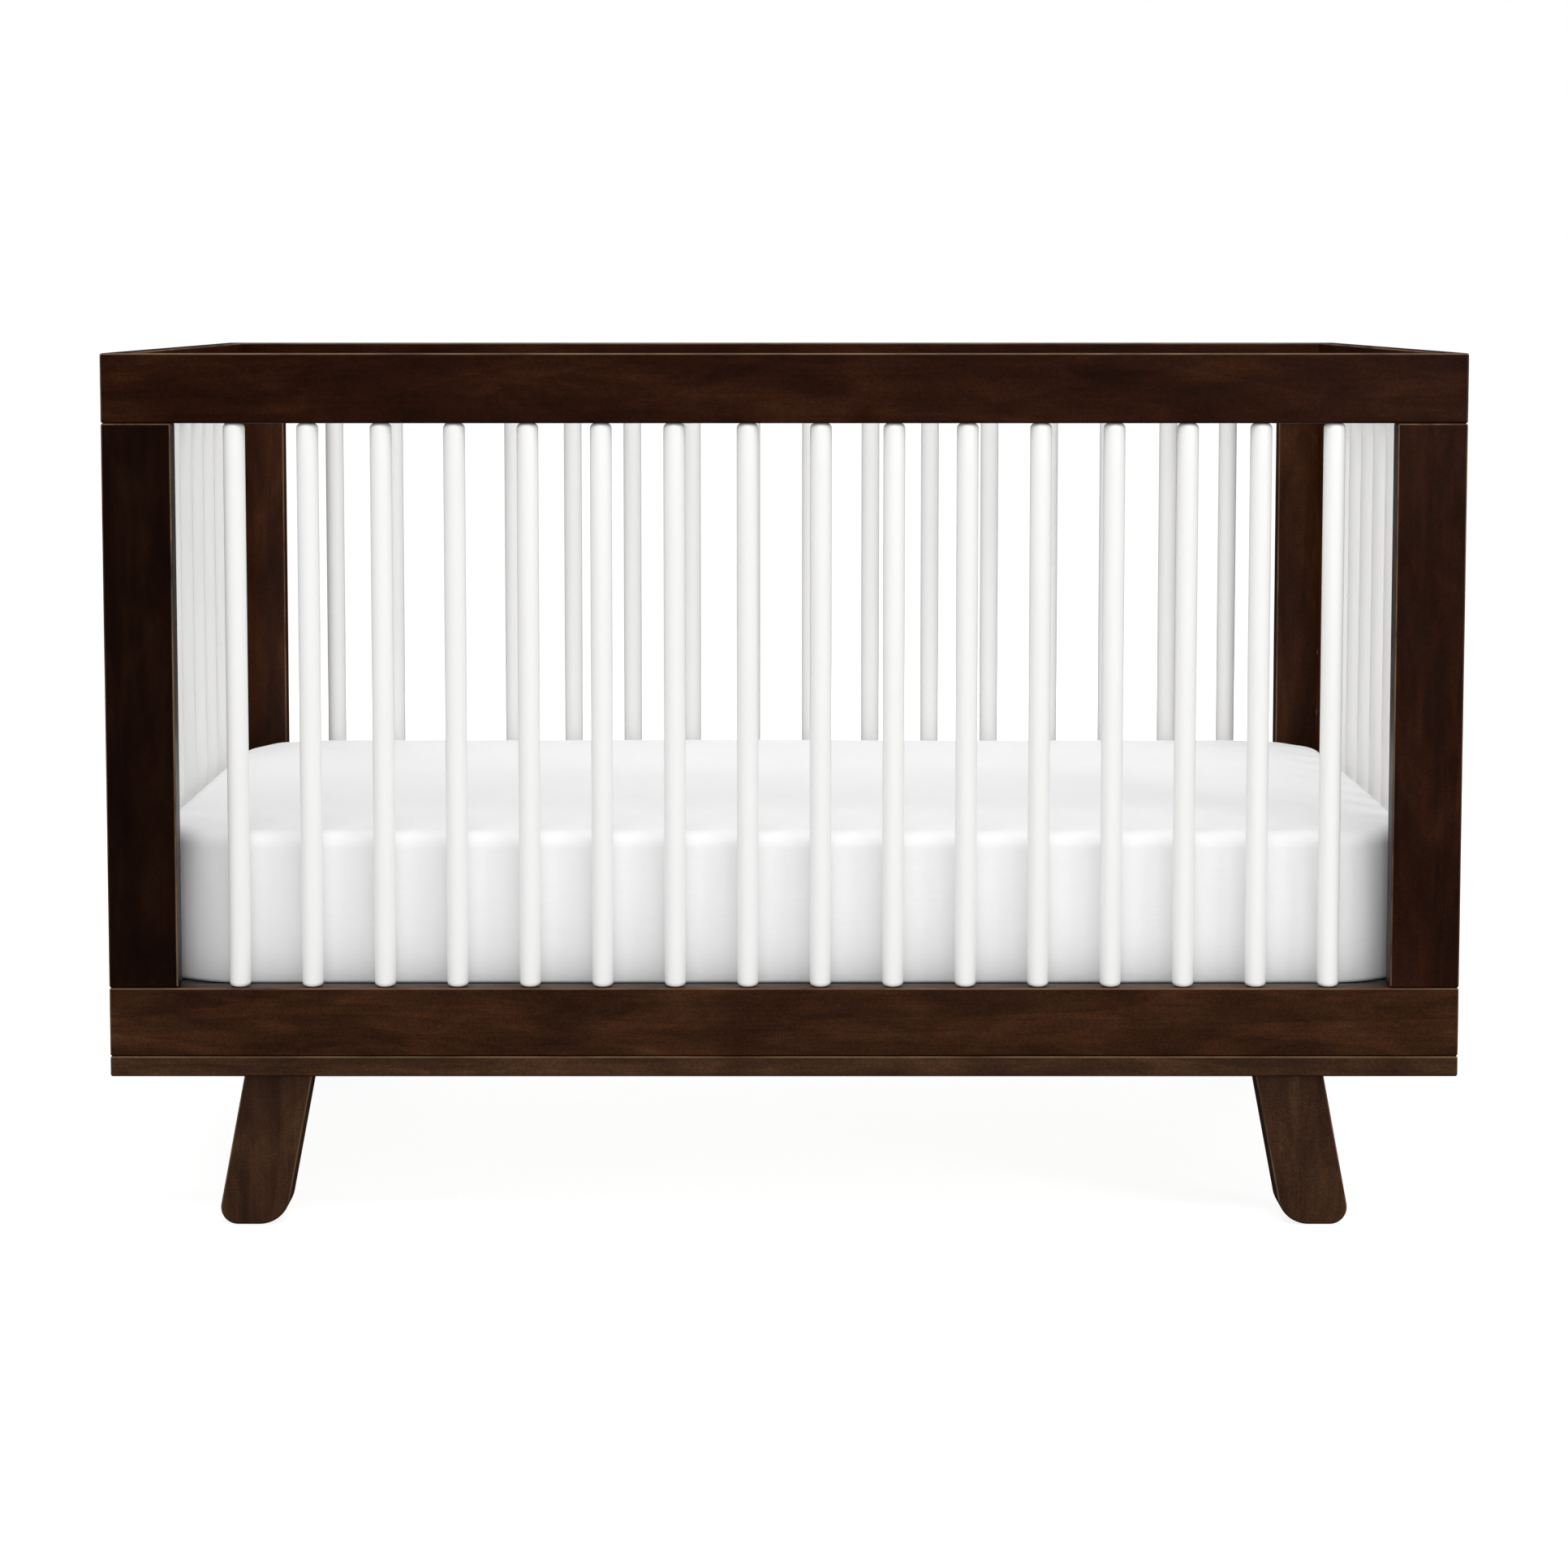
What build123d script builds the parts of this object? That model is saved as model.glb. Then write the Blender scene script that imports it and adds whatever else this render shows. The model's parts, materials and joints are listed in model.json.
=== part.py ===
from build123d import *

import os
from math import radians, tan

# Baby crib: four slatted panels bolted round a sprung mattress support, on a base frame with four
# splayed board legs. X runs along the length, Y from front to back, Z up. The origin is on the
# floor, at the middle of the crib. Millimetres.

# ------------------------------------------------------------------ driving dimensions
LENGTH = 1365.0  # over the long panels, along X
WIDTH = 757.0  # over the long panels, along Y
HEIGHT = 890.0  # floor to the top of the rails

LONG_THICK = 24.0  # boards of the front and back panels
END_THICK = 22.0  # boards of the two end panels
BOARD_WIDE = 70.0  # every rail and stile of the four panels
EASE = 2.5  # rounding of every board's edges, which makes the fine grooves at the seams

BASE_THICK = 21.0  # base rails lie flat under the panels
BASE_DEEP = 70.0
BASE_UNDER = 158.0  # underside of the base rails, where the legs start

LONG_SLATS = 16  # in the front panel and in the back panel
LONG_PITCH = 73.5
END_SLATS = 7  # in each end panel
END_PITCH = 71.1
SLAT_R = 10.9
SLAT_SHOULDER = 5.2  # rounding between a slat's side and its tenon
TENON_R = 5.5
TENON_LONG = 13.5

LEG_TOP_IN = 479.5  # |X| of a leg's inner edge at its top
LEG_TOP_WIDE = 69.3
LEG_SPLAY = 10.8  # degrees outwards
LEG_THICK = 38.0
LEG_SET_BACK = 15.0  # behind the long panel's outer face
LEG_OUTER_R = 17.5  # rounding of the foot's outer corner
LEG_INNER_R = 32.0  # and of its inner corner
GLIDE_R = 8.0
GLIDE_HIGH = 3.5
GLIDE_PROUD = 1.0  # how far a glide stands below the wood

LEVELS = 4  # heights that the mattress support can hang at
LEVEL_PITCH = 75.0
LEVEL_FIRST = 286.0  # height of the lowest hanging bolts
HANG_Y = 339.0  # |Y| of the hanging bolts

DOWEL_R = 4.0
M6_R = 2.95
M8_R = 3.95
FIT = 0.05  # radial room round dowels, tenons, inserts and bolts in inserts
BOLT_ROOM = 0.3  # radial room round a bolt in a plain hole

MATTRESS = (1310.0, 690.0, 158.0)  # with its sheet on
MATTRESS_UNDER = 246.0
MATTRESS_CORNER_R = 100.0
MATTRESS_EDGE_R = 14.0
CORE_SKIN = 8.0  # the core is a closed skin, with the weight of a light foam mattress
SHEET_THICK = 2.0
SHEET_HEM = 75.0  # how far the sheet turns in under the mattress

# ------------------------------------------------------------------ worked out from those
HALF_L = LENGTH / 2
HALF_W = WIDTH / 2
INSIDE_X = HALF_L - END_THICK  # inner face of the end panels
INSIDE_Y = HALF_W - LONG_THICK  # inner face of the long panels
BOARD_MID = BOARD_WIDE / 2
LONG_MID_Y = HALF_W - LONG_THICK / 2
END_MID_X = HALF_L - END_THICK / 2
BASE_TOP = BASE_UNDER + BASE_THICK
STILE_LOW = BASE_TOP + BOARD_WIDE
STILE_HIGH = HEIGHT - BOARD_WIDE
SIDES = (-1, 1)
CORNERS = [(sx, sy) for sx in SIDES for sy in SIDES]
SIDE_NAME = {-1: "left", 1: "right"}
DEPTH_NAME = {-1: "front", 1: "back"}

os.makedirs("parts", exist_ok=True)


def save(shape, name):
    """One sub-part, or one group of identical small ones, in its own file."""
    solids = shape if isinstance(shape, list) else [shape]
    body = solids[0] if len(solids) == 1 else Compound(children=solids)
    body.label = name
    export_step(body, f"parts/{name}.step")


def block(x, y, z):
    """A box between two limits on each axis, given in either order."""
    spans = [(min(pair), max(pair)) for pair in (x, y, z)]
    low = Vector(*(pair[0] for pair in spans))
    size = [pair[1] - pair[0] for pair in spans]
    return Pos(low) * Box(*size, align=(Align.MIN, Align.MIN, Align.MIN))


def board(x, y, z):
    """A planed board with all its edges eased."""
    raw = block(x, y, z)
    return fillet(raw.edges(), EASE)


def rod(start, along, length, radius):
    """A round bar from a point, in a direction."""
    flat = Plane(origin=start, z_dir=along)
    return flat * Cylinder(radius, length, align=(Align.CENTER, Align.CENTER, Align.MIN))


def tube(start, along, length, radius, bore):
    """A ring with a hole right through it."""
    return rod(start, along, length, radius) - rod(start, along, length, bore)


# ------------------------------------------------------------------ panel joints
STILE_DOWEL_LONG = 36.0
STILE_DOWEL_APART = 36.0
CORNER_DOWEL_IN_LONG = 14.0  # depth in the long panel's rail
CORNER_DOWEL_IN_END = 22.0
CORNER_DOWEL_STEPS = (35.0, 55.0)  # from a rail's seam with its stile
DRILL_SPARE = 0.5  # a drilled hole is this much deeper than what goes in it
BOLT_HEIGHTS = (324.0, 740.0)  # of the bolts that hold the end panels to the long ones
BOLT_SINK = 30.0  # depth of the counterbore in the end stile's inner edge
BOLT_SINK_R = 6.5
BOLT_HEAD_R = 5.0
BOLT_HEAD_HIGH = 6.0
BOLT_IN_INSERT = 11.5
KEY_R = 2.6  # hexagon socket, across its corners
KEY_DEEP = 3.5
INSERT_R = 4.6
INSERT_LONG = 13.0
STILE_MID_X = HALF_L - BOARD_MID
STILE_MID_Y = INSIDE_Y - BOARD_MID


def stile_dowel_places(mid, high):
    """Where dowels cross the seam between a stile and a rail, along the panel's length."""
    return [(mid + side * STILE_DOWEL_APART / 2, high) for side in SIDES]


def long_slat_places():
    return [(i - (LONG_SLATS - 1) / 2) * LONG_PITCH for i in range(LONG_SLATS)]


def end_slat_places():
    return [(i - (END_SLATS - 1) / 2) * END_PITCH for i in range(END_SLATS)]


def corner_dowel_heights():
    top = [STILE_HIGH + step for step in CORNER_DOWEL_STEPS]
    bottom = [STILE_LOW - step for step in CORNER_DOWEL_STEPS]
    return top, bottom


def slat():
    """A turned slat at the origin's axis, with rounded shoulders and a tenon at each end."""
    top = STILE_HIGH
    low = STILE_LOW
    shaft = rod((0, 0, low), (0, 0, 1), top - low, SLAT_R)
    rims = shaft.edges().filter_by(GeomType.CIRCLE)
    shaft = fillet(rims, SLAT_SHOULDER)
    return shaft + rod((0, 0, low - TENON_LONG), (0, 0, 1), top - low + 2 * TENON_LONG, TENON_R)


def tenon_holes(places, seam, up):
    """Blind round mortises in a rail, one for each slat."""
    deep = TENON_LONG + DRILL_SPARE
    return [rod((x, y, seam), (0, 0, up), deep, TENON_R + FIT) for x, y in places]


def stile_dowel_holes(places):
    """Both halves of the holes that cross a seam: a rod centred on the seam's height."""
    half = STILE_DOWEL_LONG / 2 + DRILL_SPARE
    return [rod((x, y, z - half), (0, 0, 1), 2 * half, DOWEL_R + FIT) for x, y, z in places]


def bolt_line(sx, sy, z):
    """Start of a panel bolt on the seam between end stile and long stile, and its way inwards."""
    return (sx * END_MID_X, sy * INSIDE_Y, z), (0, -sy, 0)


def long_rail_parts():
    """Rails, stiles and slats of the front and the back panel."""
    one = slat()
    for sy in SIDES:
        face = (sy * INSIDE_Y, sy * HALF_W)
        mid = sy * LONG_MID_Y
        slat_spots = [(x, mid) for x in long_slat_places()]
        seams = {"top": (STILE_HIGH, 1), "bottom": (STILE_LOW, -1)}
        heights = dict(zip(seams, corner_dowel_heights()))
        for level, (seam, up) in seams.items():
            rail = board((-HALF_L, HALF_L), face, (seam, seam + up * BOARD_WIDE))
            spots = [
                (x, mid, z) for sx in SIDES for x, z in stile_dowel_places(sx * STILE_MID_X, seam)
            ]
            into = CORNER_DOWEL_IN_LONG + DRILL_SPARE
            corner = [
                rod((sx * END_MID_X, sy * INSIDE_Y, z), (0, sy, 0), into, DOWEL_R + FIT)
                for sx in SIDES
                for z in heights[level]
            ]
            cuts = tenon_holes(slat_spots, seam, up) + stile_dowel_holes(spots) + corner
            if level == "bottom":
                cuts += base_insert_holes([(x, mid) for x in BASE_BOLT_X])
            save(rail - cuts, f"{DEPTH_NAME[sy]}_{level}_rail")
        for sx in SIDES:
            span = (sx * (HALF_L - BOARD_WIDE), sx * HALF_L)
            stile = board(span, face, (STILE_LOW, STILE_HIGH))
            spots = [
                (x, mid, z)
                for seam in (STILE_LOW, STILE_HIGH)
                for x, z in stile_dowel_places(sx * STILE_MID_X, seam)
            ]
            sockets = []
            for z in BOLT_HEIGHTS:
                start, inwards = bolt_line(sx, sy, z)
                outwards = (0, -inwards[1], 0)
                sockets.append(rod(start, outwards, INSERT_LONG + FIT, INSERT_R + FIT))
            cuts = stile_dowel_holes(spots) + sockets
            save(stile - cuts, f"{DEPTH_NAME[sy]}_{SIDE_NAME[sx]}_stile")
        save([Pos(x, y, 0) * one for x, y in slat_spots], f"{DEPTH_NAME[sy]}_slats")


def end_rail_parts():
    """Rails, stiles and slats of the two end panels, which stand between the long ones."""
    one = slat()
    for sx in SIDES:
        face = (sx * INSIDE_X, sx * HALF_L)
        mid = sx * END_MID_X
        end = SIDE_NAME[sx]
        slat_spots = [(mid, y) for y in end_slat_places()]
        seams = {"top": (STILE_HIGH, 1), "bottom": (STILE_LOW, -1)}
        heights = dict(zip(seams, corner_dowel_heights()))
        for level, (seam, up) in seams.items():
            rail = board(face, (-INSIDE_Y, INSIDE_Y), (seam, seam + up * BOARD_WIDE))
            spots = [
                (mid, y, z) for sy in SIDES for y, z in stile_dowel_places(sy * STILE_MID_Y, seam)
            ]
            into = CORNER_DOWEL_IN_END + DRILL_SPARE
            corner = [
                rod((mid, sy * INSIDE_Y, z), (0, -sy, 0), into, DOWEL_R + FIT)
                for sy in SIDES
                for z in heights[level]
            ]
            cuts = tenon_holes(slat_spots, seam, up) + stile_dowel_holes(spots) + corner
            if level == "bottom":
                cuts += base_insert_holes([(mid, y) for y in BASE_BOLT_Y])
            save(rail - cuts, f"{end}_{level}_rail")
        for sy in SIDES:
            span = (sy * (INSIDE_Y - BOARD_WIDE), sy * INSIDE_Y)
            stile = board(face, span, (STILE_LOW, STILE_HIGH))
            spots = [
                (mid, y, z)
                for seam in (STILE_LOW, STILE_HIGH)
                for y, z in stile_dowel_places(sy * STILE_MID_Y, seam)
            ]
            cuts = stile_dowel_holes(spots)
            for z in BOLT_HEIGHTS:
                start, inwards = bolt_line(sx, sy, z)
                cuts.append(rod(start, inwards, BOARD_WIDE, M6_R + BOLT_ROOM))
                sink = (mid, sy * (INSIDE_Y - BOARD_WIDE), z)
                cuts.append(rod(sink, (0, sy, 0), BOLT_SINK, BOLT_SINK_R))
            for z in level_heights():
                start = (sx * INSIDE_X, sy * HANG_Y, z)
                cuts.append(rod(start, (sx, 0, 0), INSERT_LONG + FIT, INSERT_R + FIT))
            save(stile - cuts, f"{end}_{DEPTH_NAME[sy]}_stile")
        save([Pos(x, y, 0) * one for x, y in slat_spots], f"{end}_end_slats")


def panel_fasteners():
    """Dowels, bolts and threaded inserts of the panels."""
    half = STILE_DOWEL_LONG / 2
    seams = (STILE_LOW, STILE_HIGH)
    spots = []
    for sx, sy in CORNERS:
        for seam in seams:
            long_side = stile_dowel_places(sx * STILE_MID_X, seam)
            end_side = stile_dowel_places(sy * STILE_MID_Y, seam)
            spots += [(x, sy * LONG_MID_Y, z) for x, z in long_side]
            spots += [(sx * END_MID_X, y, z) for y, z in end_side]
    dowels = [rod((x, y, z - half), (0, 0, 1), 2 * half, DOWEL_R) for x, y, z in spots]
    save(dowels, "stile_dowels")

    top, bottom = corner_dowel_heights()
    whole = CORNER_DOWEL_IN_LONG + CORNER_DOWEL_IN_END
    outermost = INSIDE_Y + CORNER_DOWEL_IN_LONG
    corner = [
        rod((sx * END_MID_X, sy * outermost, z), (0, -sy, 0), whole, DOWEL_R)
        for sx, sy in CORNERS
        for z in top + bottom
    ]
    save(corner, "corner_dowels")

    bolts = []
    inserts = []
    for sx, sy in CORNERS:
        for z in BOLT_HEIGHTS:
            (x, y, _), inwards = bolt_line(sx, sy, z)
            outwards = (0, -inwards[1], 0)
            inserts.append(tube((x, y, z), outwards, INSERT_LONG, INSERT_R, M6_R + FIT))
            head_y = sy * (INSIDE_Y - BOARD_WIDE + BOLT_SINK)
            long = abs(y - head_y) + BOLT_IN_INSERT
            bolts.append(cap_bolt((x, head_y, z), outwards, long, M6_R))
    save(bolts, "panel_bolts")
    save(inserts, "panel_inserts")


def cap_bolt(under_head, along, long, radius):
    """A socket cap bolt: its seat, the way it points, its length under the head."""
    x, y, z = under_head
    back = tuple(-a for a in along)
    head = rod(under_head, back, BOLT_HEAD_HIGH, BOLT_HEAD_R)
    bottom = Vector(x, y, z) + Vector(*back) * (BOLT_HEAD_HIGH - KEY_DEEP)
    key = Plane(origin=bottom, z_dir=back) * RegularPolygon(KEY_R, 6)
    socket = extrude(key, KEY_DEEP, dir=back)
    return head + rod(under_head, along, long, radius) - socket


# ------------------------------------------------------------------ base frame
BASE_BOLT_X = (-600.0, -300.0, 0.0, 300.0, 600.0)  # along the long base rails
BASE_BOLT_Y = (-200.0, 200.0)  # along the end base rails
BASE_SINK = 7.0
BASE_SINK_R = 6.0
BASE_DOWEL_LONG = 40.0
BASE_DOWEL_X = (630.0, 664.0)


def base_insert_holes(places):
    """Blind holes for threaded inserts in a bottom rail's underside."""
    return [rod((x, y, BASE_TOP), (0, 0, 1), INSERT_LONG + FIT, INSERT_R + FIT) for x, y in places]


def base_bolt_places():
    long_side = [(x, sy * LONG_MID_Y) for sy in SIDES for x in BASE_BOLT_X]
    end_side = [(sx * END_MID_X, y) for sx in SIDES for y in BASE_BOLT_Y]
    return long_side, end_side


def base_bolt_holes(places):
    """Counterbored holes up through a base rail."""
    holes = []
    for x, y in places:
        holes.append(rod((x, y, BASE_UNDER), (0, 0, 1), BASE_THICK, M6_R + BOLT_ROOM))
        holes.append(rod((x, y, BASE_UNDER), (0, 0, 1), BASE_SINK, BASE_SINK_R))
    return holes


def base_dowels(radius, spare):
    """Dowels across the four corner seams of the base, as long as asked beyond their own length."""
    half = BASE_DOWEL_LONG / 2 + spare
    seam = HALF_W - BASE_DEEP
    mid = BASE_UNDER + BASE_THICK / 2
    return {
        (sx, sy): [
            rod((sx * x, sy * seam - half, mid), (0, 1, 0), 2 * half, radius)
            for x in BASE_DOWEL_X
        ]
        for sx, sy in CORNERS
    }


def base_frame():
    """Flat rails under the panels, with their bolts, inserts and dowels."""
    high = (BASE_UNDER, BASE_TOP)
    inner_y = HALF_W - BASE_DEEP
    long_side, end_side = base_bolt_places()
    sockets = base_dowels(DOWEL_R + FIT, DRILL_SPARE)
    for sy in SIDES:
        rail = board((-HALF_L, HALF_L), (sy * inner_y, sy * HALF_W), high)
        cuts = base_bolt_holes([(x, y) for x, y in long_side if y * sy > 0])
        cuts += [hole for sx in SIDES for hole in sockets[sx, sy]]
        for x, y in leg_bolt_places(sy):
            cuts.append(rod((x, y, BASE_UNDER), (0, 0, 1), BASE_THICK, M8_R + BOLT_ROOM))
        save(rail - cuts, f"{DEPTH_NAME[sy]}_base_rail")
    for sx in SIDES:
        rail = board((sx * (HALF_L - BASE_DEEP), sx * HALF_L), (-inner_y, inner_y), high)
        cuts = base_bolt_holes([(x, y) for x, y in end_side if x * sx > 0])
        cuts += [hole for sy in SIDES for hole in sockets[sx, sy]]
        save(rail - cuts, f"{SIDE_NAME[sx]}_base_rail")
    pegs = base_dowels(DOWEL_R, 0.0)
    save([peg for pair in pegs.values() for peg in pair], "base_dowels")

    seat = BASE_UNDER + BASE_SINK
    long = BASE_TOP - seat + BOLT_IN_INSERT
    places = long_side + end_side
    save([cap_bolt((x, y, seat), (0, 0, 1), long, M6_R) for x, y in places], "base_bolts")
    rings = [
        tube((x, y, BASE_TOP), (0, 0, 1), INSERT_LONG, INSERT_R, M6_R + FIT) for x, y in places
    ]
    save(rings, "base_inserts")


# ------------------------------------------------------------------ legs
LEG_BOLT_X = (500.0, 533.0)
LEG_BOLT_Y = 342.0
LEG_INSERT_R = 6.0
LEG_INSERT_LONG = 28.0
LEG_BOLT_DEEP = 26.0  # length of thread in the leg
LEG_HEAD_R = 7.0
WASHER_R = 9.0
WASHER_THICK = 1.6
LEG_OUT = tan(radians(LEG_SPLAY))  # how far a leg goes outwards for each millimetre down
LEG_FRONT = HALF_W - LEG_SET_BACK


def leg_bolt_places(sy):
    return [(sx * x, sy * LEG_BOLT_Y) for sx in SIDES for x in LEG_BOLT_X]


def glide_x():
    """|X| of the middle of the flat that is left under a foot between its two roundings."""
    drop = BASE_UNDER - GLIDE_PROUD
    inner = LEG_TOP_IN + drop * LEG_OUT
    outer = inner + LEG_TOP_WIDE
    half_sharp = tan(radians(90.0 - LEG_SPLAY) / 2)
    half_blunt = tan(radians(90.0 + LEG_SPLAY) / 2)
    return (outer - LEG_OUTER_R / half_sharp + inner + LEG_INNER_R / half_blunt) / 2


def leg(sx, sy):
    """A splayed flat board with a rounded foot, let in below for its glide."""
    foot = GLIDE_PROUD
    shift = (BASE_UNDER - foot) * LEG_OUT
    inner, outer = LEG_TOP_IN, LEG_TOP_IN + LEG_TOP_WIDE
    outline = Polygon(
        (inner, BASE_UNDER),
        (outer, BASE_UNDER),
        (outer + shift, foot),
        (inner + shift, foot),
        align=None,
    )
    low = outline.vertices().group_by(Axis.Y)[0].sort_by(Axis.X)
    outline = fillet(low[-1], LEG_OUTER_R)
    inner_low = min(outline.vertices(), key=lambda v: abs(v.X - inner - shift) + abs(v.Y - foot))
    outline = fillet(inner_low, LEG_INNER_R)
    plank = extrude(Plane.XZ.offset(-LEG_FRONT) * outline, LEG_THICK, dir=(0, -1, 0))
    faces = [edge for edge in plank.edges() if on_one_y(edge) and below(edge, BASE_UNDER)]
    plank = fillet(faces, EASE)
    if sx < 0:
        plank = plank.mirror(Plane.YZ)
    if sy < 0:
        plank = plank.mirror(Plane.XZ)
    tops = [(sx * x, sy * LEG_BOLT_Y, BASE_UNDER) for x in LEG_BOLT_X]
    cuts = [rod(top, (0, 0, -1), LEG_INSERT_LONG + FIT, LEG_INSERT_R + FIT) for top in tops]
    cuts.append(rod(glide_place(sx, sy), (0, 0, 1), GLIDE_HIGH + FIT, GLIDE_R + FIT))
    return plank - cuts


def on_one_y(edge):
    box = edge.bounding_box()
    return box.max.Y - box.min.Y < EASE / 10


def below(edge, high):
    return edge.bounding_box().min.Z < high - EASE


def glide_place(sx, sy):
    return (sx * glide_x(), sy * (LEG_FRONT - LEG_THICK / 2), 0.0)


def legs():
    for sx, sy in CORNERS:
        save(leg(sx, sy), f"{DEPTH_NAME[sy]}_{SIDE_NAME[sx]}_leg")
    places = [spot for sy in SIDES for spot in leg_bolt_places(sy)]
    seat = BASE_TOP + WASHER_THICK
    long = seat - BASE_UNDER + LEG_BOLT_DEEP
    bolts = []
    for x, y in places:
        shank = rod((x, y, seat), (0, 0, -1), long, M8_R)
        flats = Plane(origin=(x, y, seat)) * RegularPolygon(LEG_HEAD_R, 6)
        hexagon = extrude(flats, BOLT_HEAD_HIGH, dir=(0, 0, 1))
        bolts.append(shank + hexagon)
    save(bolts, "leg_bolts")
    rings = [
        tube((x, y, BASE_TOP), (0, 0, 1), WASHER_THICK, WASHER_R, M8_R + BOLT_ROOM)
        for x, y in places
    ]
    save(rings, "leg_washers")
    sleeves = [
        tube((x, y, BASE_UNDER), (0, 0, -1), LEG_INSERT_LONG, LEG_INSERT_R, M8_R + FIT)
        for x, y in places
    ]
    save(sleeves, "leg_inserts")
    discs = []
    for sx, sy in CORNERS:
        disc = rod(glide_place(sx, sy), (0, 0, 1), GLIDE_HIGH, GLIDE_R)
        rim = disc.edges().filter_by(GeomType.CIRCLE).sort_by(Axis.Z)[0]
        discs.append(fillet(rim, GLIDE_PROUD / 2))
    save(discs, "foot_glides")


# ------------------------------------------------------------------ mattress support
STEEL = 2.0  # angle bars
ANGLE_HIGH = 23.6
ANGLE_WIDE = 24.0
FRAME_TOP = 245.6
FRAME_END_X = 657.5  # outer face of the end bars
FRAME_LONG_X = 650.0  # half length of the long bars, which leaves the bolts free
FRAME_Y = 348.0  # outer face of the long bars
HANGER_THICK = 2.5
HANGER_ARM = (300.0, 329.0)  # |Y| of the part that reaches down to the frame
HANGER_WING = (329.0, 352.0)  # |Y| of the part with the hook
HANGER_TOP = 302.0
HANGER_LOW = 223.0
WING_LOW = 262.0
SHOULDER_R = 4.0
HOOK_R = 4.3  # leaves the shoulder 0.3 free all round
HANG_HEAD_R = 7.0
HANG_HEAD_HIGH = 3.5
HANG_HEAD_GAP = 0.6  # between the head and the hook plate
RIVET_Z = 232.0
RIVET_Y = (306.0, 318.0)
RIVET_R = 2.5
RIVET_HEAD_R = 4.5
RIVET_HEAD_HIGH = 1.6
WIRE_R = 1.75
WIRE_Y = [(i - 3) * 95.0 for i in range(7)]  # the long wires
WIRE_X = [(i - 6) * 97.5 for i in range(13)]  # the cross wires
WIRE_HIGH = 243.4
WELD = 0.3  # how far crossing wires are pressed into each other
COIL_R = 5.0
HOOK_WIRE_R = 1.0
SPRING_HIGH = 239.0
HOLE_IN = 19.0  # from a bar's outer face to its row of spring holes
SPRING_HOLE_R = 1.6
COIL_FROM_WIRE = 8.0
COIL_FROM_HOLE = 8.0
WIRE_GAP = 0.6


def level_heights():
    return [LEVEL_FIRST + i * LEVEL_PITCH for i in range(LEVELS)]


def hanging_hardware():
    """Threaded inserts at every level in the end stiles, and the bolts at the level in use."""
    rings = []
    bolts = []
    for sx, sy in CORNERS:
        for z in level_heights():
            mouth = (sx * INSIDE_X, sy * HANG_Y, z)
            rings.append(tube(mouth, (sx, 0, 0), INSERT_LONG, INSERT_R, M6_R + FIT))
        face = (sx * INSIDE_X, sy * HANG_Y, LEVEL_FIRST)
        inner_plate = FRAME_END_X - HANG_HEAD_GAP
        neck = INSIDE_X - inner_plate
        bolt = rod(face, (sx, 0, 0), BOLT_IN_INSERT, M6_R) + rod(face, (-sx, 0, 0), neck, SHOULDER_R)
        seat = (sx * inner_plate, sy * HANG_Y, LEVEL_FIRST)
        head = rod(seat, (-sx, 0, 0), HANG_HEAD_HIGH, HANG_HEAD_R)
        mouth = (sx * (inner_plate - HANG_HEAD_HIGH), sy * HANG_Y, LEVEL_FIRST)
        key = Plane(origin=mouth, z_dir=(sx, 0, 0)) * RegularPolygon(KEY_R, 6)
        head -= extrude(key, HANG_HEAD_HIGH / 2, dir=(sx, 0, 0))
        bolts.append(bolt + head)
    save(rings, "level_inserts")
    save(bolts, "hanging_bolts")


def angle_bar(x, y, flange):
    """A steel angle: an upright leg along its outer face and a flat leg on top, turned inwards."""
    upright = block(x, y, (FRAME_TOP - ANGLE_HIGH, FRAME_TOP))
    flat = block(flange[0], flange[1], (FRAME_TOP - STEEL, FRAME_TOP))
    return upright + flat


def support_frame():
    """Four welded angle bars, the long ones butted against the end ones' flanges."""
    for sy in SIDES:
        y = (sy * (FRAME_Y - STEEL), sy * FRAME_Y)
        wide = (sy * (FRAME_Y - ANGLE_WIDE), sy * FRAME_Y)
        span = (-FRAME_LONG_X, FRAME_LONG_X)
        bar = angle_bar(span, y, (span, wide))
        holes = [
            rod((x, sy * (FRAME_Y - HOLE_IN), FRAME_TOP), (0, 0, -1), STEEL, SPRING_HOLE_R)
            for x in WIRE_X
        ]
        save(bar - holes, f"support_{DEPTH_NAME[sy]}_bar")
    for sx in SIDES:
        x = (sx * (FRAME_END_X - STEEL), sx * FRAME_END_X)
        wide = (sx * (FRAME_END_X - ANGLE_WIDE), sx * FRAME_END_X)
        reach = FRAME_Y - ANGLE_WIDE
        span = (-reach, reach)
        bar = angle_bar(x, span, (wide, span))
        holes = [
            rod((sx * (FRAME_END_X - HOLE_IN), y, FRAME_TOP), (0, 0, -1), STEEL, SPRING_HOLE_R)
            for y in WIRE_Y
        ]
        holes += [
            rod((sx * FRAME_END_X, sy * y, RIVET_Z), (-sx, 0, 0), STEEL, RIVET_R + FIT)
            for sy in SIDES
            for y in RIVET_Y
        ]
        save(bar - holes, f"support_{SIDE_NAME[sx]}_bar")


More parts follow.
